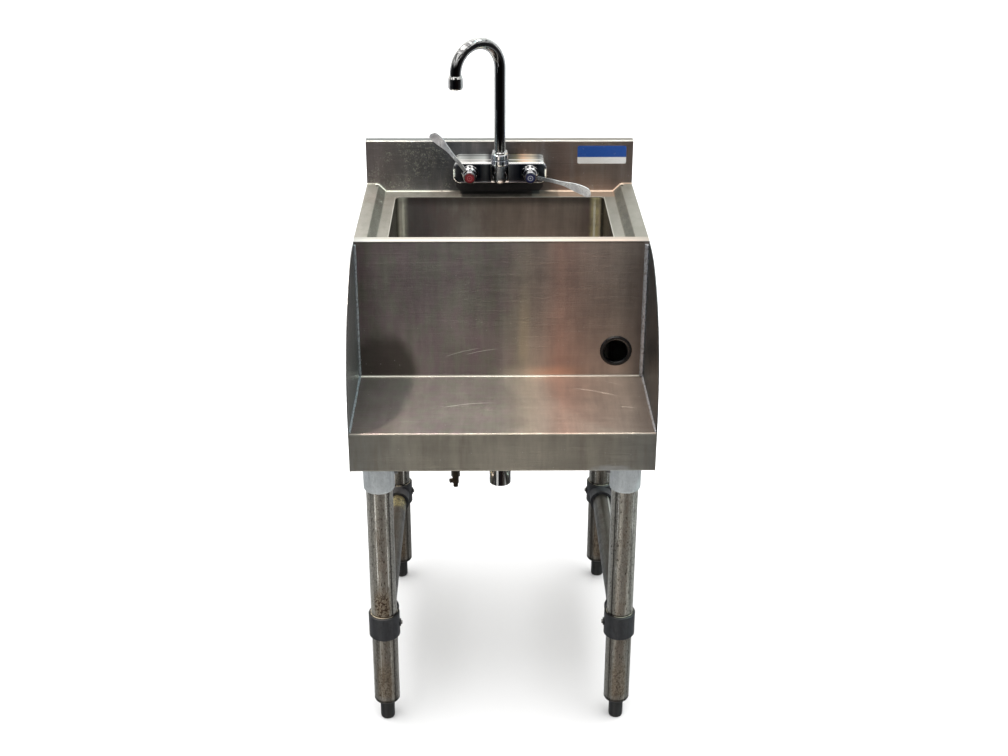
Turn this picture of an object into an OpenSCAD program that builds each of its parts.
// Underbar blender station: a small stainless hand sink with a splash mounted faucet,
// a drop shelf for a blender in front of it, and four tube legs with cross rails.
// X runs left to right seen from the front, Y runs front to back, Z is up.
// The origin is on the floor, under the middle of the whole outline.

/* [Sink top] */
// Inside width of the bowl
bowl_w = 355.6; // [300:1:460]
// Inside length of the bowl from front to back
bowl_d = 228.6; // [200:1:300]
// Depth of the bowl below the deck
bowl_h = 254; // [180:1:262]
// Corner radius of the bowl
bowl_r = 12; // [6:0.5:25]
// Width of the flange that welds the bowl under the deck
bowl_flange = 8; // [4:0.5:11]
// Flat deck between the bowl and the sloped edge, left and right
side_land = 17.8; // [14:0.1:40]
// Flat deck between the sloped front edge and the bowl
front_land = 2.2; // [1:0.1:20]
// Flat deck between the bowl and the backsplash
back_land = 34.6; // [34:0.1:80]
// Height of the raised rim above the deck
rim_h = 12.7; // [8:0.1:20]
// Width of the flat top of the rim
rim_w = 20; // [14:0.5:30]
// Width of the slope between rim and deck
slope_w = 13; // [8:0.5:20]

/* [Sheet metal] */
// Height of the raised rim above the floor
rim_z = 774.7; // [740:1:860]
// Thickness of the stainless sheet
sheet_t = 1.2; // [0.8:0.1:1.6]
// Radius of a bend, at the middle of the sheet
bend_r = 2.4; // [1.6:0.1:4]
// Height of the backsplash above the rim
splash_h = 76.2; // [70:0.1:200]
// Depth of the flat top of the backsplash
splash_top_d = 20; // [12:0.5:30]
// Height of the lip behind the backsplash top
splash_lip = 12; // [6:0.5:25]
// Depth of the blender shelf
shelf_d = 203.2; // [170:0.1:260]
// Drop from the rim to the shelf
shelf_drop = 228.6; // [200:0.1:240]
// Height of the apron under the shelf
apron_h = 63.5; // [55:0.1:80]
// Width of the hem under the apron
hem_w = 12; // [6:0.5:20]
// Fullness of the curved front edge of the side panels
side_fullness = 2.2; // [2:0.1:4]
// Height of the channels that carry the leg sockets
channel_h = 30; // [15:0.5:45]
// Height of the channels above the apron's lower edge
channel_lift = 3.4; // [2:0.1:8]
// Side clearance between a channel and the bowl
channel_gap = 1.5; // [0.5:0.1:4]

/* [Cord grommet] */
// Outside diameter of the grommet's flange
grommet_d = 51; // [44:0.5:60]
// Diameter of the hole through the grommet
grommet_bore_d = 38; // [25:0.5:40]
// Wall of the grommet's neck
grommet_wall = 3; // [2:0.1:3]
// Thickness of each flange of the grommet
grommet_lip = 2.6; // [1.5:0.1:4]
// Distance of the grommet from the right edge of the unit
grommet_in = 46; // [40:0.5:80]
// Height of the grommet above the shelf
grommet_up = 44; // [34:0.5:120]

/* [Legs] */
// Outside diameter of a leg
leg_d = 41.28; // [35:0.01:48]
// Wall of the leg and rail tubes
tube_t = 1.6; // [1:0.1:2.5]
// Distance of the leg centres from the side of the unit
leg_inset = 39.6; // [38:0.1:46]
// Distance of the front leg centres from the apron face
leg_front = 44.5; // [40:0.5:60]
// Distance of the rear leg centres from the backsplash face
leg_back = 25; // [25:0.5:60]
// Height of the lower end of the leg tubes
leg_z = 39; // [36:0.5:45]
// Wall of a leg socket
socket_t = 3.4; // [2.5:0.1:5]
// Thickness of the plate on top of a socket
socket_plate_t = 3; // [2:0.1:5]
// Length of a leg socket
socket_h = 55; // [40:0.5:80]
// Height of the cross rails above the floor
rail_z = 184; // [140:1:260]
// Outside diameter of a cross rail
rail_d = 31.75; // [25:0.05:35]
// Wall of the tee collars round leg and rail
collar_t = 4.1; // [3:0.1:6]
// Height of a tee collar
collar_h = 42.6; // [42:0.1:60]
// Reach of the rail stub from the leg centre
stub_reach = 46; // [40:0.5:60]
// Gap between the leg and the end of a rail
rail_end_gap = 4; // [2:0.5:10]
// Radius of a set screw
set_screw_r = 3.2; // [2.5:0.1:4]
// Length of a set screw
set_screw_l = 8; // [6:0.5:12]

/* [Feet] */
// Diameter of a bullet foot
foot_d = 23.2; // [20:0.1:30]
// Height of a bullet foot below its insert
foot_h = 32.7; // [28:0.1:34]
// Diameter of the foot's threaded stem
foot_stem_d = 15.8; // [10:0.1:17]
// Length of the foot's stem
foot_stem_l = 70; // [62:1:90]
// Depth of the insert inside the leg
insert_h = 30; // [20:0.5:35]
// Travel of a foot as it is screwed out
foot_travel = 25; // [10:1:30]
// Gap between a foot and its insert when it is screwed in
foot_gap = 0.3; // [0.2:0.05:0.5]

/* [Drain] */
// Diameter of the drain hole in the bowl
drain_hole_d = 88.9; // [86:0.1:95]
// Depth of the recess round the drain
drain_recess = 3; // [1.5:0.1:5]
// Diameter of the drain flange
drain_flange_d = 113.6; // [108:0.1:120]
// Depth of the strainer cup
cup_h = 38; // [34:0.5:50]
// Outside diameter of the tailpiece
tail_d = 38.1; // [32:0.1:42]
// Height of the lower end of the tailpiece
tail_z = 272; // [200:1:400]
// Height that the basket is lifted to clear its cup
basket_lift = 90; // [60:1:120]

/* [Faucet] */
// Distance between the two valves
valve_spread = 101.6; // [96:0.1:110]
// Height of the valves above the rim
faucet_up = 32.8; // [30:0.1:45]
// Width of the faucet body
faucet_w = 160; // [150:0.5:180]
// Height of the faucet body
faucet_h = 40; // [36:0.5:48]
// Depth of the faucet body
faucet_d = 45; // [40:0.5:55]
// Corner radius of the faucet body
faucet_r = 14; // [12:0.5:16]
// Radius of the edge round the body's face
faucet_edge = 8; // [3:0.5:10]
// Distance of the spout axis from the backsplash
spout_out = 47; // [42:0.5:56]
// Outside diameter of the spout tube
spout_d = 19.05; // [17:0.05:20]
// Diameter of the water way in the spout
spout_bore_d = 14; // [10:0.1:14.5]
// Radius of the gooseneck at the middle of its tube
neck_r = 44.45; // [35:0.05:60]
// Height of the gooseneck's bend above the valves
neck_up = 178.9; // [120:0.1:220]
// Angle of the spout from straight ahead at rest
spout_rest = 54; // [0:1:85]
// Diameter of the aerator
aerator_d = 23.8; // [23:0.1:28]
// Height of the aerator
aerator_h = 22; // [16:0.5:28]
// Diameter of the spout nut
spout_nut_d = 29.6; // [28.6:0.1:34]
// Height of the spout nut
spout_nut_h = 24; // [22:0.5:30]
// Radius of a supply shank
shank_r = 10.4; // [9:0.1:10.8]
// Length of a supply shank behind the backsplash face
shank_l = 33; // [30:0.5:60]
// Diameter of the shank holes in the backsplash
shank_hole_d = 22.2; // [22:0.1:26]

/* [Wrist blade handles] */
// Length of a blade from its valve's axis
blade_l = 102.5; // [80:0.5:115]
// Length of the blade's straight arm
blade_straight = 38; // [30:1:60]
// How far the blade's tip comes forward of its arm
blade_forward = 31.5; // [10:0.5:45]
// Width of the blade's paddle
paddle_w = 14.5; // [10:0.5:20]
// Width of the blade's arm
arm_w = 5.4; // [4.6:0.1:8]
// Thickness of the blade's arm at the hub
arm_t = 5.4; // [4:0.2:9]
// Thickness of the paddle
paddle_t = 3.4; // [2:0.1:4.4]
// Angle of the hot blade above the right hand side, at rest
hot_rest = 127.6; // [104:0.1:190]
// Angle of the cold blade above the right hand side, at rest
cold_rest = -12.5; // [-12.5:0.5:76]
// Radius of a handle's hub
hub_r = 10.4; // [9.6:0.1:12]
// Length of a handle's hub
hub_l = 13; // [12:0.5:18]
// Radius of an index button
index_r = 9; // [7:0.1:9.4]
// Thickness of an index button
index_t = 2.6; // [1.5:0.1:4]
// Radius of a bonnet at its foot
bonnet_r = 14.2; // [12.5:0.1:16]
// Height of a bonnet
bonnet_h = 16.3; // [14:0.1:22]
// Radius of a valve stem
stem_r = 4.5; // [3.5:0.1:5]

/* [Hot supply] */
// Radius of the copper riser
riser_r = 4.8; // [4:0.1:6]
// Sideways step of the riser to the left
riser_step = 33; // [10:1:60]
// Height of the riser's lower fitting
riser_z = 168; // [140:1:260]

/* [Hidden] */
// Radial clearance where one piece turns or slides in another
run_fit = 0.05;
// Gap between two faces that pass each other
face_gap = 0.3;
// Overlap used where two solids of one piece are joined
eps = 0.01;
$fn = 64;

unit_w = bowl_w + 2 * (side_land + slope_w + rim_w);
half_w = unit_w / 2;
bowl_y0 = shelf_d + rim_w + slope_w + front_land;
bowl_y1 = bowl_y0 + bowl_d;
bowl_cy = (bowl_y0 + bowl_y1) / 2;
splash_y = bowl_y1 + back_land;
splash_top_z = rim_z + splash_h;
deck_z = rim_z - rim_h;
shelf_z = rim_z - shelf_drop;
apron_z = shelf_z - apron_h;
channel_z = apron_z + channel_lift;

leg_x = half_w - leg_inset;
leg_front_y = leg_front;
leg_rear_y = splash_y - leg_back;
leg_r = leg_d / 2;
rail_r = rail_d / 2;
socket_r = leg_r + run_fit + socket_t;
socket_z = channel_z - socket_h;
leg_top_z = channel_z - socket_plate_t;
collar_r = leg_r + run_fit + collar_t;
stub_r = rail_r + run_fit + collar_t;
rail_start = leg_r + rail_end_gap;

grommet_x = half_w - grommet_in;
grommet_z = shelf_z + grommet_up;
grommet_neck_r = grommet_bore_d / 2 + grommet_wall;

bowl_z = deck_z - bowl_h;
drain_z = bowl_z - drain_recess;
drain_r = drain_hole_d / 2;
flange_r = drain_flange_d / 2;
cup_r = drain_r - 0.65;
cup_in_r = cup_r - 2.8;
under_z = drain_z - sheet_t;
gasket_t = 3;
locknut_h = 9;
cup_floor_h = 6;
spigot_r = tail_d / 2 + 3.45;
outlet_r = tail_d / 2 - 2;
spigot_top = cup_h + 12;
spigot_l = 16;
spigot_end = spigot_top + spigot_l;
slip_washer_t = 2;
tail_lip_t = 1.5;
tail_top_z = drain_z - spigot_end - slip_washer_t;
slip_nut_r = spigot_r + 4.6;
slip_lip_t = 4;
tail_free_z = tail_top_z - tail_lip_t - slip_lip_t - 3;
neck_step = 0.4;

faucet_z = rim_z + faucet_up;
face_y = splash_y - faucet_d;
valve_x = valve_spread / 2;
spout_y = splash_y - spout_out;
spout_r = spout_d / 2;
spout_nut_r = spout_nut_d / 2;
boss_r = spout_nut_r - 0.3;
boss_z = faucet_z - faucet_h / 2 + 2 + boss_r;
nut_z = faucet_z + 15;
collar_r_spout = spout_r + 1.6;
neck_thread_r = spout_r + run_fit + 2.2;
neck_thread_h = 12;
spout_collar_z = nut_z + neck_thread_h + face_gap;
spout_collar_h = 4;
spout_low_z = nut_z - 10;
seal_r = 0.8;
seal_z = nut_z - 4;
arc_z = faucet_z + neck_up;
spout_stub = 11;
aerator_top = arc_z - 1.4;
valve_bore_r = 8.2;
valve_depth = 22;
bonnet_out = bonnet_h;
hub_back_y = face_y - bonnet_out - face_gap;
hub_front_y = hub_back_y - hub_l;
shank_end_y = splash_y + shank_l;
locknut_t = 6;
washer_t = 2;
shank_seat_r = shank_r + 0.2;
shank_seat_l = sheet_t + washer_t + locknut_t;

elbow_y = shank_end_y + 9;
elbow_r = 10;
riser_top_z = faucet_z - 14;
riser_x = -valve_x - riser_step;
riser_drop = 143.5;
riser_slope_h = 180;
union_up = 22;
elbow_nut_l = 13;
overall_d = elbow_y + elbow_r;

// Moves the drawing, whose Y starts at the apron face, to the origin
module placed() {
    translate([0, -overall_d / 2, 0]) children();
}

// A block between two values on each axis
module block(x, y, z) {
    translate([x[0], y[0], z[0]]) cube([x[1] - x[0], y[1] - y[0], z[1] - z[0]]);
}

// A flat shape in Y and Z, drawn out along X
module along_x(x0, x1) {
    translate([x0, 0, 0]) rotate([90, 0, 90]) linear_extrude(x1 - x0) children();
}

// A flat shape in X and Z, drawn out along Y
module along_y(y0, y1) {
    translate([0, y1, 0]) rotate([90, 0, 0]) linear_extrude(y1 - y0) children();
}

// A turned shape whose axis runs forward from a point
module turned_forward(x, y, z) {
    translate([x, y, z]) rotate([90, 0, 0]) rotate_extrude() children();
}

// A turned shape whose axis runs up from a point
module turned_up(x, y, z) {
    translate([x, y, z]) rotate_extrude() children();
}

// A rectangle of radius and height, for turned shapes
module ring_section(r0, r1, z0, z1) {
    translate([r0, z0]) square([r1 - r0, z1 - z0]);
}

function unit(v) = v / norm(v);
function left_of(v) = [-v.y, v.x];
function turned(v, a) = [v.x * cos(a) - v.y * sin(a), v.x * sin(a) + v.y * cos(a)];
function turn_angle(a, b) = atan2(a.x * b.y - a.y * b.x, a * b);

// Points and directions along a line whose corners are bent to radius r
function bent_line(p, r, steps = 5) = concat(
    [[p[0], unit(p[1] - p[0])]],
    [for (i = [1 : len(p) - 2])
        let (before = unit(p[i] - p[i - 1]),
            after = unit(p[i + 1] - p[i]),
            a = turn_angle(before, after),
            side = sign(a),
            c = p[i] - before * r * tan(abs(a) / 2) + left_of(before) * side * r)
        for (k = [0 : steps])
            let (d = turned(before, a * k / steps))
            [c - left_of(d) * side * r, d]],
    [[p[len(p) - 1], unit(p[len(p) - 1] - p[len(p) - 2])]]);

// The section of a bent sheet whose middle follows the points p
module bent_sheet(p, r, t) {
    s = bent_line(p, r);
    n = len(s);
    polygon(concat(
        [for (q = s) q[0] + left_of(q[1]) * t / 2],
        [for (i = [n - 1 : -1 : 0]) s[i][0] - left_of(s[i][1]) * t / 2]));
}

// Corner points of a rectangle with round corners, about a centre
function round_rect(c, w, h, r, steps = 8) = [
    for (q = [0 : 3])
        for (k = [0 : steps])
            let (a = 90 * q + 90 * k / steps,
                sx = (q == 0 || q == 3) ? 1 : -1,
                sy = (q < 2) ? 1 : -1)
            [c.x + sx * (w / 2 - r) + r * cos(a), c.y + sy * (h / 2 - r) + r * sin(a)]];

// An upright plate with round corners in plan
module round_plate(x, y, z, r) {
    block([x[0] + r, x[1] - r], y, z);
    block(x, [y[0] + r, y[1] - r], z);
    for (px = [x[0] + r, x[1] - r], py = [y[0] + r, y[1] - r])
        translate([px, py, z[0]]) cylinder(r = r, h = z[1] - z[0]);
}

// An open tub with round upright corners and a round edge at its floor
module tub(x, y, z, r) {
    xs = [x[0] + r, x[1] - r];
    ys = [y[0] + r, y[1] - r];
    round_plate(x, y, [z[0] + r, z[1]], r);
    block(xs, ys, [z[0], z[0] + 2 * r]);
    for (px = xs, py = ys)
        translate([px, py, z[0] + r]) sphere(r = r);
    for (px = xs)
        translate([px, ys[1], z[0] + r]) rotate([90, 0, 0]) cylinder(r = r, h = ys[1] - ys[0]);
    for (py = ys)
        translate([xs[0], py, z[0] + r]) rotate([0, 90, 0]) cylinder(r = r, h = xs[1] - xs[0]);
}

// The hollow above the deck, inside the sloped edge, lowered by drop
module pan_hollow(drop) {
    far = half_w - rim_w;
    near = far - slope_w;
    top = rim_z + sheet_t;
    translate([0, 0, -drop]) intersection() {
        along_y(shelf_d, splash_y + sheet_t)
            polygon([[-near, deck_z], [near, deck_z], [far, rim_z], [far, top + drop],
                [-far, top + drop], [-far, rim_z]]);
        along_x(-half_w, half_w)
            polygon([[shelf_d + rim_w + slope_w, deck_z], [splash_y + sheet_t, deck_z],
                [splash_y + sheet_t, top + drop], [shelf_d + rim_w, top + drop],
                [shelf_d + rim_w, rim_z]]);
    }
}

module sink_deck() color("silver") placed() {
    mid = sheet_t / 2;
    difference() {
        union() {
            difference() {
                block([-half_w, half_w], [shelf_d, splash_y + mid], [deck_z - sheet_t, rim_z]);
                pan_hollow(0);
                difference() {
                    block([-half_w - 1, half_w + 1], [shelf_d - 1, splash_y + sheet_t],
                        [deck_z - sheet_t - 1, rim_z - sheet_t]);
                    pan_hollow(sheet_t);
                }
            }
            along_x(-half_w, half_w)
                bent_sheet([[splash_y + mid, deck_z - sheet_t],
                    [splash_y + mid, splash_top_z - mid],
                    [splash_y + splash_top_d - mid, splash_top_z - mid],
                    [splash_y + splash_top_d - mid, splash_top_z - splash_lip]],
                    bend_r, sheet_t);
            for (x = [-half_w, half_w - sheet_t])
                block([x, x + sheet_t],
                    [splash_y + mid, splash_y + splash_top_d - sheet_t - bend_r],
                    [rim_z - sheet_t, splash_top_z - mid]);
        }
        round_plate([-bowl_w / 2, bowl_w / 2], [bowl_y0, bowl_y1],
            [deck_z - 2 * sheet_t, rim_z], bowl_r);
        for (x = [-valve_x, valve_x])
            translate([x, splash_y - 1, faucet_z]) rotate([-90, 0, 0])
                cylinder(d = shank_hole_d, h = sheet_t + 2);
    }
}

module sink_bowl() color("darkgray") placed() {
    top = deck_z - sheet_t;
    x = bowl_w / 2;
    difference() {
        union() {
            tub([-x - sheet_t, x + sheet_t], [bowl_y0 - sheet_t, bowl_y1 + sheet_t],
                [bowl_z - sheet_t, top], bowl_r + sheet_t);
            round_plate([-x - bowl_flange, x + bowl_flange],
                [bowl_y0 - front_land, bowl_y1 + bowl_flange],
                [top - sheet_t, top], bowl_r);
            translate([0, bowl_cy, under_z])
                cylinder(r = flange_r + 1 + sheet_t, h = drain_recess + eps);
        }
        tub([-x, x], [bowl_y0, bowl_y1], [bowl_z, top + 1], bowl_r);
        translate([0, bowl_cy, drain_z]) cylinder(r = flange_r + 1, h = drain_recess + 1);
        translate([0, bowl_cy, under_z - 1]) cylinder(r = drain_r, h = sheet_t + 2);
    }
}

module blender_shelf() color("silver") placed() {
    mid = sheet_t / 2;
    in_w = half_w - sheet_t;
    line = [[shelf_d + mid, rim_z - sheet_t], [shelf_d + mid, shelf_z - mid],
        [mid, shelf_z - mid], [mid, apron_z + mid], [hem_w, apron_z + mid]];
    difference() {
        union() {
            along_x(-in_w, in_w) bent_sheet(line, bend_r, sheet_t);
            intersection() {
                along_x(-half_w, half_w) bent_sheet(line, bend_r, sheet_t);
                block([-half_w, half_w], [-1, sheet_t], [apron_z - 1, shelf_z - bend_r]);
            }
        }
        translate([grommet_x, shelf_d - 1, grommet_z]) rotate([-90, 0, 0])
            cylinder(r = grommet_neck_r + run_fit, h = sheet_t + 2);
    }
}

// Outline of a side panel in Y and Z, with a full round front edge
module side_outline() {
    steps = 20;
    rise = rim_z - sheet_t - shelf_z;
    power = 2 / side_fullness;
    polygon(concat(
        [[sheet_t, apron_z], [sheet_t, shelf_z - bend_r], [0, shelf_z - bend_r]],
        [for (k = [0 : steps])
            let (a = 90 * k / steps)
            [shelf_d * (1 - pow(cos(a), power)), shelf_z + rise * pow(sin(a), power)]],
        [[splash_y + sheet_t, rim_z - sheet_t], [splash_y + sheet_t, apron_z]]));
}

module left_side_panel() color("gray") placed() {
    difference() {
        along_x(-half_w, -half_w + sheet_t) side_outline();
        block([-half_w - 1, 0], [splash_y, splash_y + 2 * sheet_t],
            [deck_z - sheet_t, rim_z]);
    }
}

module right_side_panel() color("gray") placed() {
    difference() {
        along_x(half_w - sheet_t, half_w) side_outline();
        block([0, half_w + 1], [splash_y, splash_y + 2 * sheet_t],
            [deck_z - sheet_t, rim_z]);
    }
}

module back_panel() color("gray") placed() {
    in_w = half_w - sheet_t;
    block([-in_w, in_w], [splash_y, splash_y + sheet_t], [apron_z, deck_z - sheet_t]);
}

// An open channel along one side, side is -1 for left and 1 for right
module leg_channel(side) {
    mid = sheet_t / 2;
    near = bowl_w / 2 + sheet_t + channel_gap + mid;
    far = half_w - sheet_t - mid;
    top = channel_z + channel_h;
    difference() {
        along_y(sheet_t, splash_y)
            bent_sheet([[side * near, top], [side * near, channel_z + mid],
                [side * far, channel_z + mid], [side * far, top]], bend_r, sheet_t);
        block([-half_w, half_w], [0, hem_w], [apron_z - 1, apron_z + sheet_t]);
    }
}

module left_leg_channel() color("slategray") placed() leg_channel(-1);
module right_leg_channel() color("slategray") placed() leg_channel(1);

module cord_grommet() color("black") placed() {
    r = grommet_bore_d / 2;
    out = grommet_d / 2;
    turned_forward(grommet_x, shelf_d, grommet_z)
        polygon([[r, -sheet_t - grommet_lip], [out - 2, -sheet_t - grommet_lip],
            [out - 1.5, -sheet_t], [grommet_neck_r, -sheet_t], [grommet_neck_r, 0],
            [out, 0], [out, 1], [out - 1.4, grommet_lip], [r + 2.4, grommet_lip],
            [r + 0.6, grommet_lip - 0.8], [r, grommet_lip - 1.6]]);
}

// A galvanised cup welded under the channel, with its set screw hole on the inner side
module leg_socket(x, y) {
    foot = 4;
    difference() {
        union() {
            turned_up(x, y, 0)
                polygon([[0, channel_z], [0, socket_z], [socket_r - foot, socket_z],
                    [socket_r - foot * 0.5, socket_z + foot * 0.13],
                    [socket_r - foot * 0.13, socket_z + foot * 0.5],
                    [socket_r, socket_z + foot], [socket_r, channel_z]]);
            block([x - socket_r, x + socket_r], [y - socket_r, y + socket_r],
                [leg_top_z, channel_z]);
        }
        translate([x, y, socket_z - 1])
            cylinder(r = leg_r + run_fit, h = leg_top_z - socket_z + 1);
        set_screw_hole(x, y, socket_z + socket_h / 2, socket_r);
    }
}

// A hole that runs inward from the middle of the unit to a leg
module set_screw_hole(x, y, z, reach) {
    side = x < 0 ? 1 : -1;
    translate([x, y, z]) rotate([0, side * 90, 0])
        cylinder(r = set_screw_r + run_fit, h = reach + set_screw_l);
}

// A socket head set screw that bears on a leg, seen from the middle of the unit
module set_screw(x, y, z) {
    side = x < 0 ? 1 : -1;
    translate([x, y, z]) rotate([0, side * 90, 0]) translate([0, 0, leg_r])
        difference() {
            cylinder(r = set_screw_r, h = set_screw_l);
            translate([0, 0, set_screw_l - 3]) cylinder(r = set_screw_r * 0.55, h = 4, $fn = 6);
        }
}

module front_left_socket() color("lightgray") placed() leg_socket(-leg_x, leg_front_y);
module front_right_socket() color("lightgray") placed() leg_socket(leg_x, leg_front_y);
module rear_left_socket() color("lightgray") placed() leg_socket(-leg_x, leg_rear_y);
module rear_right_socket() color("lightgray") placed() leg_socket(leg_x, leg_rear_y);

module leg(x, y) {
    turned_up(x, y, 0) ring_section(leg_r - tube_t, leg_r, leg_z, leg_top_z);
}

module front_left_leg() color("gray") placed() leg(-leg_x, leg_front_y);
module front_right_leg() color("gray") placed() leg(leg_x, leg_front_y);
module rear_left_leg() color("gray") placed() leg(-leg_x, leg_rear_y);
module rear_right_leg() color("gray") placed() leg(leg_x, leg_rear_y);

// The plug in the end of a leg that the foot's stem screws into
module foot_insert(x, y) {
    bore = foot_stem_d / 2 + run_fit;
    low = foot_h + foot_gap;
    plug = leg_r - tube_t;
    turned_up(x, y, 0)
        polygon([[bore, low], [foot_d / 2 + 2, low], [leg_r - 1, leg_z - 2],
            [leg_r, leg_z], [plug, leg_z], [plug, leg_z + insert_h - 2],
            [plug - 1.5, leg_z + insert_h], [bore, leg_z + insert_h]]);
}

module front_left_insert() color("dimgray") placed() foot_insert(-leg_x, leg_front_y);
module front_right_insert() color("dimgray") placed() foot_insert(leg_x, leg_front_y);
module rear_left_insert() color("dimgray") placed() foot_insert(-leg_x, leg_rear_y);
module rear_right_insert() color("dimgray") placed() foot_insert(leg_x, leg_rear_y);

// A bullet foot with its stem
module bullet_foot(x, y) {
    r = foot_d / 2;
    stem = foot_stem_d / 2;
    turned_up(x, y, 0)
        polygon([[0, 0], [r - 2.4, 0], [r - 0.8, 0.9], [r - 0.2, 2.6], [r, 6],
            [r, foot_h - 3], [r - 1, foot_h], [stem, foot_h],
            [stem, foot_h + foot_stem_l - 2], [stem - 1.5, foot_h + foot_stem_l],
            [0, foot_h + foot_stem_l]]);
}

module front_left_foot() color("dimgray") placed() bullet_foot(-leg_x, leg_front_y);
module front_right_foot() color("dimgray") placed() bullet_foot(leg_x, leg_front_y);
module rear_left_foot() color("dimgray") placed() bullet_foot(-leg_x, leg_rear_y);
module rear_right_foot() color("dimgray") placed() bullet_foot(leg_x, leg_rear_y);

// A cast tee: a ring round the leg with a stub that holds the rail, way is 1 to the rear
module rail_collar(x, y, way) {
    side = x < 0 ? 1 : -1;
    edge = 1.6;
    lip = 5;
    difference() {
        union() {
            turned_up(x, y, rail_z - collar_h / 2)
                polygon([[0, 0], [collar_r - edge, 0], [collar_r, edge],
                    [collar_r, collar_h - edge], [collar_r - edge, collar_h], [0, collar_h]]);
            translate([x, y, rail_z]) rotate([-90 * way, 0, 0]) cylinder(r = stub_r, h = stub_reach);
            translate([x, y + way * (stub_reach - lip), rail_z]) rotate([-90 * way, 0, 0])
                cylinder(r = stub_r + 1, h = lip);
            translate([x, y, rail_z]) rotate([0, side * 90, 0])
                cylinder(r = set_screw_r + 3, h = collar_r + 1.6);
        }
        translate([x, y, rail_z - collar_h]) cylinder(r = leg_r + run_fit, h = 2 * collar_h);
        translate([x, y + way * (rail_start - run_fit), rail_z]) rotate([-90 * way, 0, 0])
            cylinder(r = rail_r + run_fit, h = stub_reach);
        set_screw_hole(x, y, rail_z, collar_r);
    }
}

module front_left_collar() color("darkslategray") placed() rail_collar(-leg_x, leg_front_y, 1);
module front_right_collar() color("darkslategray") placed() rail_collar(leg_x, leg_front_y, 1);
module rear_left_collar() color("darkslategray") placed() rail_collar(-leg_x, leg_rear_y, -1);
module rear_right_collar() color("darkslategray") placed() rail_collar(leg_x, leg_rear_y, -1);

module rail(x) {
    from = leg_front_y + rail_start;
    to = leg_rear_y - rail_start;
    translate([x, from, rail_z]) rotate([-90, 0, 0])
        rotate_extrude() ring_section(rail_r - tube_t, rail_r, 0, to - from);
}

module left_rail() color("gray") placed() rail(-leg_x);
module right_rail() color("gray") placed() rail(leg_x);

module collar_set_screws() color("dimgray") placed() {
    for (x = [-leg_x, leg_x], y = [leg_front_y, leg_rear_y]) set_screw(x, y, rail_z);
}

module socket_set_screws() color("dimgray") placed() {
    for (x = [-leg_x, leg_x], y = [leg_front_y, leg_rear_y])
        set_screw(x, y, socket_z + socket_h / 2);
}

// The strainer body: a flange in the bowl, a cup below it and a threaded outlet
module strainer_body() color("silver") placed() {
    turned_up(0, bowl_cy, drain_z)
        polygon([[flange_r, 0], [flange_r, 0.9], [flange_r - 2.2, 2.2], [cup_in_r + 3, 2.2],
            [cup_in_r, 0.6], [cup_in_r, -cup_h], [outlet_r, -cup_h - cup_floor_h],
            [outlet_r, -spigot_end], [spigot_r, -spigot_end], [spigot_r, -spigot_top],
            [cup_r, -cup_h - 2], [cup_r, 0]]);
}

module drain_gasket() color("black") placed() {
    turned_up(0, bowl_cy, under_z)
        ring_section(cup_r + run_fit, flange_r - 1, -gasket_t, 0);
}

module drain_locknut() color("goldenrod") placed() {
    lugs = 6;
    low = under_z - gasket_t - locknut_h;
    difference() {
        union() {
            translate([0, bowl_cy, low]) cylinder(r = flange_r - 5, h = locknut_h);
            for (k = [0 : lugs - 1])
                translate([0, bowl_cy, low]) rotate([0, 0, k * 360 / lugs])
                    translate([cup_r + 1, -4, 0])
                        cube([flange_r - cup_r + 1, 8, locknut_h]);
        }
        translate([0, bowl_cy, low - 1]) cylinder(r = cup_r + run_fit, h = locknut_h + 2);
    }
}

// The lift out basket: a pierced cup with a knob above and a stopper below
module strainer_basket() color("silver") placed() {
    r = cup_in_r - 1.2;
    wall = 1;
    depth = cup_h - 10;
    holes = 8;
    stop_r = outlet_r + 3;
    stop_z = -cup_h - cup_floor_h * (cup_in_r - stop_r) / (cup_in_r - outlet_r) + face_gap;
    difference() {
        turned_up(0, bowl_cy, drain_z)
            polygon([[0, stop_z], [stop_r, stop_z], [stop_r, stop_z + 3], [8, -depth - wall],
                [r - 2, -depth - wall], [r, -depth + 1], [r, 0.4], [r - wall, 0.4],
                [r - wall, -depth + 1], [r - 2.6, -depth], [3, -depth], [3, -6], [4.5, -3],
                [8, -1], [8.5, 1.2], [7.5, 3], [0, 3.4]]);
        for (k = [0 : holes - 1])
            translate([0, bowl_cy, drain_z - depth - wall - 1]) rotate([0, 0, k * 360 / holes])
                translate([0.66 * r, 0, 0]) cylinder(r = 2.6, h = wall + 2);
    }
}

module slip_washer() color("white") placed() {
    turned_up(0, bowl_cy, tail_top_z)
        ring_section(outlet_r, spigot_r - 0.2, 0, slip_washer_t);
}

module tailpiece() color("silver") placed() {
    r = tail_d / 2;
    turned_up(0, bowl_cy, 0)
        polygon([[r, tail_z], [r, tail_free_z], [r - neck_step, tail_free_z],
            [r - neck_step, tail_top_z - tail_lip_t],
            [spigot_r - 0.6, tail_top_z - tail_lip_t],
            [spigot_r - 0.6, tail_top_z], [r - tube_t, tail_top_z], [r - tube_t, tail_z]]);
}

// The nut that draws the tailpiece up to the strainer's outlet
module slip_nut() color("silver") placed() {
    ribs = 8;
    shoulder = tail_top_z - tail_lip_t;
    high = drain_z - spigot_end + 12;
    low = shoulder - slip_lip_t;
    difference() {
        union() {
            translate([0, bowl_cy, low]) cylinder(r = slip_nut_r - 1.4, h = high - low);
            translate([0, bowl_cy, low + 4]) cylinder(r = slip_nut_r, h = high - low - 4, $fn = ribs);
        }
        translate([0, bowl_cy, low - 1]) cylinder(r = tail_d / 2 + run_fit, h = slip_lip_t + 2);
        translate([0, bowl_cy, shoulder]) cylinder(r = spigot_r + run_fit, h = high - shoulder + 1);
    }
}

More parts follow.
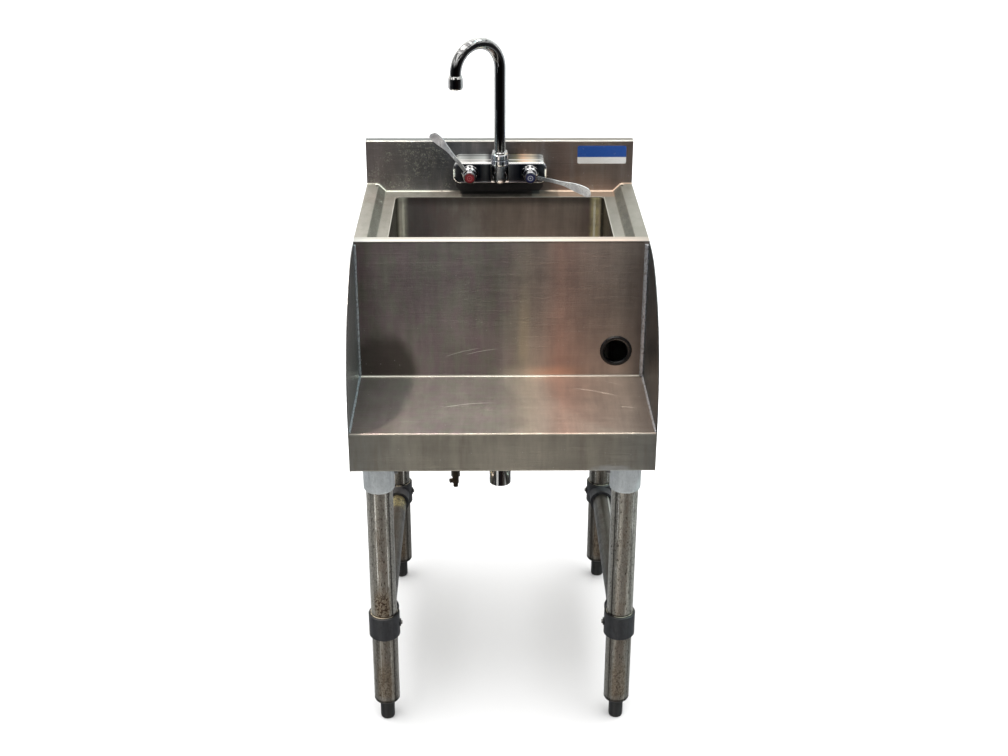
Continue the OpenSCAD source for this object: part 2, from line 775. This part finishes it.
// Half of a section through the chest: X runs out to the edge, Y from the face to the back
module soft_section() {
    e = faucet_edge;
    r = faucet_r;
    square([r - e, faucet_d]);
    translate([0, e]) square([r, faucet_d - e]);
    intersection() {
        translate([r - e, e]) circle(r = e);
        translate([r - e, 0]) square([e, e]);
    }
}

// The chest of the faucet body, with a soft edge turned round its whole face
module faucet_chest() {
    across = faucet_w / 2 - faucet_r;
    tall = faucet_h / 2 - faucet_r;
    translate([0, face_y, faucet_z]) {
        block([-across, across], [0, faucet_d], [-tall, tall]);
        translate([-across, 0, tall]) rotate([90, 0, 90])
            linear_extrude(2 * across) mirror([1, -1]) soft_section();
        translate([-across, 0, -tall]) rotate([90, 0, 90])
            linear_extrude(2 * across) rotate(-90) soft_section();
        translate([across, 0, -tall]) linear_extrude(2 * tall) soft_section();
        translate([-across, 0, -tall]) mirror([1, 0, 0]) linear_extrude(2 * tall) soft_section();
        for (x = [-across, across], z = [-tall, tall])
            translate([x, 0, z]) rotate([-90, 0, 0]) rotate_extrude() soft_section();
    }
}

// The cast body: a chest on the backsplash, the spout's boss and the two shanks
module faucet_body() color("gainsboro") placed() {
    way = 5;
    difference() {
        union() {
            faucet_chest();
            translate([0, spout_y, boss_z]) sphere(r = boss_r);
            translate([0, spout_y, boss_z]) cylinder(r = boss_r, h = nut_z - boss_z);
            translate([0, spout_y, nut_z - 1]) cylinder(r = neck_thread_r, h = neck_thread_h + 1);
            for (x = [-valve_x, valve_x])
                translate([x, splash_y - 1, faucet_z]) rotate([-90, 0, 0]) {
                    cylinder(r = shank_r, h = shank_l + 1);
                    cylinder(r = shank_seat_r, h = shank_seat_l + 1);
                }
        }
        difference() {
            translate([0, spout_y, nut_z]) cylinder(r = spout_nut_r + face_gap, h = faucet_h);
            translate([0, spout_y, nut_z - 1]) cylinder(r = neck_thread_r, h = neck_thread_h + 1);
        }
        for (x = [-valve_x, valve_x]) {
            translate([x, face_y - 1, faucet_z]) rotate([-90, 0, 0])
                cylinder(r = valve_bore_r, h = valve_depth + 1);
            translate([x, face_y, faucet_z]) rotate([-90, 0, 0])
                cylinder(r = way, h = faucet_d + shank_l + 1);
        }
        translate([-valve_x, spout_y + way, faucet_z]) rotate([0, 90, 0])
            cylinder(r = way, h = valve_spread);
        translate([0, spout_y, faucet_z]) cylinder(r = way, h = faucet_h);
        translate([0, spout_y, spout_low_z - face_gap]) cylinder(r = spout_r + run_fit, h = faucet_h);
    }
}

module spout_nut() color("gainsboro") placed() {
    top = spout_nut_h;
    cavity = spout_collar_z + spout_collar_h + face_gap - nut_z;
    r = spout_nut_r;
    turned_up(0, spout_y, nut_z)
        polygon([[neck_thread_r + run_fit, 0], [r - 0.8, 0], [r, 1.2], [r, 9], [r - 1.1, 10],
            [r - 1.1, 11], [r, 12], [r, top - 6], [r - 1.6, top - 4.6], [r - 1.4, top - 2],
            [r - 2.6, top], [spout_r + run_fit, top], [spout_r + run_fit, cavity],
            [neck_thread_r + run_fit, cavity]]);
}

// Turns the spout's own pieces to where the spout points at rest
module spout_turned() {
    translate([0, spout_y, 0]) rotate([0, 0, -spout_rest]) children();
}

module spout() color("gainsboro") placed() spout_turned() {
    bore = spout_bore_d / 2;
    difference() {
        union() {
            translate([0, 0, spout_low_z]) cylinder(r = spout_r, h = arc_z - spout_low_z);
            translate([0, 0, spout_collar_z]) cylinder(r = collar_r_spout, h = spout_collar_h);
            translate([0, -neck_r, arc_z]) rotate([90, 0, 90]) rotate_extrude(angle = 180)
                translate([neck_r, 0]) circle(r = spout_r);
            translate([0, -2 * neck_r, arc_z - spout_stub]) cylinder(r = spout_r, h = spout_stub);
        }
        translate([0, 0, spout_low_z - 1]) cylinder(r = bore, h = arc_z - spout_low_z + 1);
        translate([0, -neck_r, arc_z]) rotate([90, 0, 90]) rotate_extrude(angle = 180)
            translate([neck_r, 0]) circle(r = bore);
        translate([0, -2 * neck_r, arc_z - spout_stub - 1]) cylinder(r = bore, h = spout_stub + 1);
        translate([0, 0, seal_z - seal_r - 0.1])
            rotate_extrude() ring_section(spout_r - 2 * seal_r, spout_r + 1, 0, 2 * seal_r + 0.2);
    }
}

module spout_seal() color("black") placed() spout_turned() {
    translate([0, 0, seal_z]) rotate_extrude() translate([spout_r - seal_r, 0]) circle(r = seal_r);
}

module aerator() color("gainsboro") placed() spout_turned() {
    r = aerator_d / 2;
    seat = spout_stub - 1.4;
    h = aerator_h;
    translate([0, -2 * neck_r, aerator_top - h]) rotate_extrude()
        polygon([[r - 1.6, 0], [r - 0.5, 1], [r, 2.4], [r, h - 4], [r - 1.2, h - 1],
            [spout_r + 0.6, h], [spout_r, h], [spout_r, h - seat], [spout_r - 2, h - seat],
            [spout_r - 2, 3.5], [0, 3.5], [0, 1.8], [spout_r - 2, 1.8], [spout_r - 1, 0]]);
}

// The chrome dome that closes a valve
module bonnet(x) {
    r = bonnet_r;
    h = bonnet_h;
    turned_forward(x, face_y, faucet_z)
        polygon([[valve_bore_r - run_fit, -6], [valve_bore_r - run_fit, 0], [r, 0], [r, 3.4],
            [r - 1.2, 4.4], [r - 1.2, 6], [r - 0.4, 6.8], [r - 1.4, 9.6], [r - 3.6, 12.6],
            [hub_r - 0.6, h - 1.6], [hub_r - 1.2, h], [stem_r + run_fit, h],
            [stem_r + run_fit, -6]]);
}

module hot_bonnet() color("gainsboro") placed() bonnet(-valve_x);
module cold_bonnet() color("gainsboro") placed() bonnet(valve_x);

// A valve stem: a square shouldered spindle with the valve disc at its inner end
module stem(x) {
    reach = bonnet_out + face_gap + 8;
    disc = valve_bore_r - 2 * face_gap;
    difference() {
        turned_forward(x, face_y, faucet_z)
            polygon([[0, -valve_depth + 1], [disc, -valve_depth + 1], [disc, -14], [stem_r, -10],
                [stem_r, reach - 0.5], [stem_r - 0.5, reach], [0, reach]]);
        translate([x, face_y - reach - 1, faucet_z]) rotate([-90, 0, 0])
            cylinder(r = 2 + run_fit, h = 13);
    }
}

module hot_stem() color("goldenrod") placed() stem(-valve_x);
module cold_stem() color("goldenrod") placed() stem(valve_x);

// Half width of the blade, s runs from 0 at the axis to 1 at the tip
function blade_half(s) = arm_w / 2 + (paddle_w - arm_w) / 2 * pow(sin(90 * min(1, max(0, s - 0.46) / 0.4)), 2);

// The outline of a blade as it is seen from the front
function blade_outline(steps = 22, round_steps = 10) =
    let (tip = blade_l - paddle_w / 2)
    concat(
        [for (k = [0 : steps]) [k / steps * tip, -blade_half(k / steps * tip / blade_l)]],
        [for (k = [1 : round_steps - 1])
            let (a = -90 + 180 * k / round_steps)
            [tip + paddle_w / 2 * cos(a), paddle_w / 2 * sin(a)]],
        [for (k = [steps : -1 : 0]) [k / steps * tip, blade_half(k / steps * tip / blade_l)]]);

// The strip that a blade is cut from: a tapered arm that bends forward along one arc
module blade_strip() {
    reach = blade_l - blade_straight;
    bend = (reach * reach + blade_forward * blade_forward) / (2 * blade_forward);
    mid = -arm_t / 2;
    back = mid + paddle_t / 2;
    front = mid - paddle_t / 2;
    translate([0, 0, -paddle_w]) {
        linear_extrude(2 * paddle_w)
            polygon([[0, 0], [blade_straight, back], [blade_straight + eps, back],
                [blade_straight + eps, front], [blade_straight, front], [0, -arm_t]]);
        translate([blade_straight, mid - bend, 0]) difference() {
            cylinder(r = bend + paddle_t / 2, h = 2 * paddle_w);
            translate([0, 0, -1]) cylinder(r = bend - paddle_t / 2, h = 2 * paddle_w + 2);
            block([-2 * bend, 0], [-2 * bend, 2 * bend], [-1, 2 * paddle_w + 1]);
            block([-1, 2 * bend], [-2 * bend, 0], [-1, 2 * paddle_w + 1]);
        }
    }
}

// A wrist blade handle, drawn with its axis at the origin and its blade along X
module blade_handle() {
    difference() {
        union() {
            rotate([90, 0, 0]) rotate_extrude()
                polygon([[0, 0], [hub_r - 1.2, 0], [hub_r, 1.4], [hub_r, hub_l - 2],
                    [hub_r - 0.8, hub_l - 0.4], [hub_r - 1, hub_l], [0, hub_l]]);
            intersection() {
                along_y(-blade_l, arm_t) polygon(blade_outline());
                blade_strip();
            }
        }
        translate([0, 1, 0]) rotate([90, 0, 0]) cylinder(r = stem_r + run_fit, h = 9);
        translate([0, 1, 0]) rotate([90, 0, 0]) cylinder(r = 2.4, h = hub_l + 2);
        translate([0, -hub_l + 3.5, 0]) rotate([90, 0, 0]) cylinder(r = 4.7, h = 4);
    }
}

module hot_handle() color("gainsboro") placed() {
    translate([-valve_x, hub_back_y, faucet_z]) rotate([0, -hot_rest, 0]) blade_handle();
}

module cold_handle() color("gainsboro") placed() {
    translate([valve_x, hub_back_y, faucet_z]) rotate([0, -cold_rest, 0]) blade_handle();
}

// The screw that holds a handle on its stem, head under the index button
module handle_screw(x) {
    turned_forward(x, hub_front_y, faucet_z)
        polygon([[0, -12], [2, -12], [2, -3.5], [4.4, -3.5], [4.4, -1], [3.6, -0.4],
            [0, -0.4]]);
}

module hot_handle_screw() color("silver") placed() handle_screw(-valve_x);
module cold_handle_screw() color("silver") placed() handle_screw(valve_x);

module index_button(x) {
    turned_forward(x, hub_front_y, faucet_z)
        polygon([[0, 0], [index_r, 0], [index_r, index_t - 1], [index_r - 0.8, index_t - 0.2],
            [index_r - 2, index_t], [0, index_t]]);
}

module hot_index() color("firebrick") placed() index_button(-valve_x);
module cold_index() color("midnightblue") placed() index_button(valve_x);

module shank_washers() color("gray") placed() {
    for (x = [-valve_x, valve_x])
        translate([x, splash_y + sheet_t, faucet_z]) rotate([-90, 0, 0])
            rotate_extrude() ring_section(shank_seat_r + run_fit, shank_r + 6, 0, washer_t);
}

module shank_locknuts() color("goldenrod") placed() {
    for (x = [-valve_x, valve_x])
        translate([x, splash_y + sheet_t + washer_t, faucet_z]) rotate([-90, 0, 0])
            difference() {
                cylinder(r = shank_r + 6.4, h = locknut_t, $fn = 6);
                translate([0, 0, -1]) cylinder(r = shank_seat_r + run_fit, h = locknut_t + 2);
            }
}

// A bar of radius r from point a to point b
module bar(a, b, r) {
    d = b - a;
    translate(a) rotate([0, acos(d.z / norm(d)), atan2(d.y, d.x)]) cylinder(r = r, h = norm(d));
}

// The copper riser: an elbow on the hot shank and a tube that steps to the left on its way down
module hot_supply_riser() color("peru") placed() {
    bend_z = riser_top_z - riser_drop;
    route = [[-valve_x, elbow_y, riser_top_z], [-valve_x, elbow_y, bend_z],
        [riser_x, elbow_y, bend_z - riser_slope_h], [riser_x, elbow_y, riser_z + union_up]];
    difference() {
        union() {
            translate([-valve_x, elbow_y, faucet_z]) sphere(r = elbow_r);
            translate([-valve_x, elbow_y, riser_top_z]) cylinder(r = 8, h = faucet_z - riser_top_z);
            translate([-valve_x, shank_end_y - 11, faucet_z]) rotate([-90, 0, 0])
                cylinder(r = shank_r + 4, h = elbow_nut_l, $fn = 6);
            translate([-valve_x, shank_end_y, faucet_z]) rotate([-90, 0, 0])
                cylinder(r = 8, h = elbow_y - shank_end_y);
            for (k = [0 : 2]) bar(route[k], route[k + 1], riser_r);
            for (k = [1 : 2]) translate(route[k]) sphere(r = riser_r + 0.2);
        }
        translate([-valve_x, shank_end_y - 12, faucet_z]) rotate([-90, 0, 0])
            cylinder(r = shank_r + run_fit, h = 12);
    }
}

// The old brass union at the riser's lower end, with its short side outlet
module hot_supply_fitting() color("saddlebrown") placed() {
    z = riser_z;
    translate([riser_x, elbow_y, 0]) {
        difference() {
            union() {
                translate([0, 0, z + 10]) cylinder(r = 8.6, h = 16, $fn = 6);
                translate([0, 0, z - 4]) cylinder(r = 6.2, h = 15);
                translate([0, 0, z - 12]) cylinder(r = 4.6, h = 9);
                translate([0, 0, z + 2]) rotate([0, 90, 200]) cylinder(r = 4.4, h = 12);
            }
            translate([0, 0, z + union_up]) cylinder(r = riser_r + run_fit, h = 5);
        }
    }
}

sink_deck();
sink_bowl();
blender_shelf();
left_side_panel();
right_side_panel();
back_panel();
left_leg_channel();
right_leg_channel();
cord_grommet();
front_left_socket();
front_right_socket();
rear_left_socket();
rear_right_socket();
front_left_leg();
front_right_leg();
rear_left_leg();
rear_right_leg();
front_left_insert();
front_right_insert();
rear_left_insert();
rear_right_insert();
front_left_foot();
front_right_foot();
rear_left_foot();
rear_right_foot();
front_left_collar();
front_right_collar();
rear_left_collar();
rear_right_collar();
left_rail();
right_rail();
collar_set_screws();
socket_set_screws();
strainer_body();
drain_gasket();
drain_locknut();
strainer_basket();
slip_nut();
slip_washer();
tailpiece();
faucet_body();
spout_nut();
spout();
spout_seal();
aerator();
hot_bonnet();
cold_bonnet();
hot_stem();
cold_stem();
hot_handle();
cold_handle();
hot_handle_screw();
cold_handle_screw();
hot_index();
cold_index();
shank_washers();
shank_locknuts();
hot_supply_riser();
hot_supply_fitting();
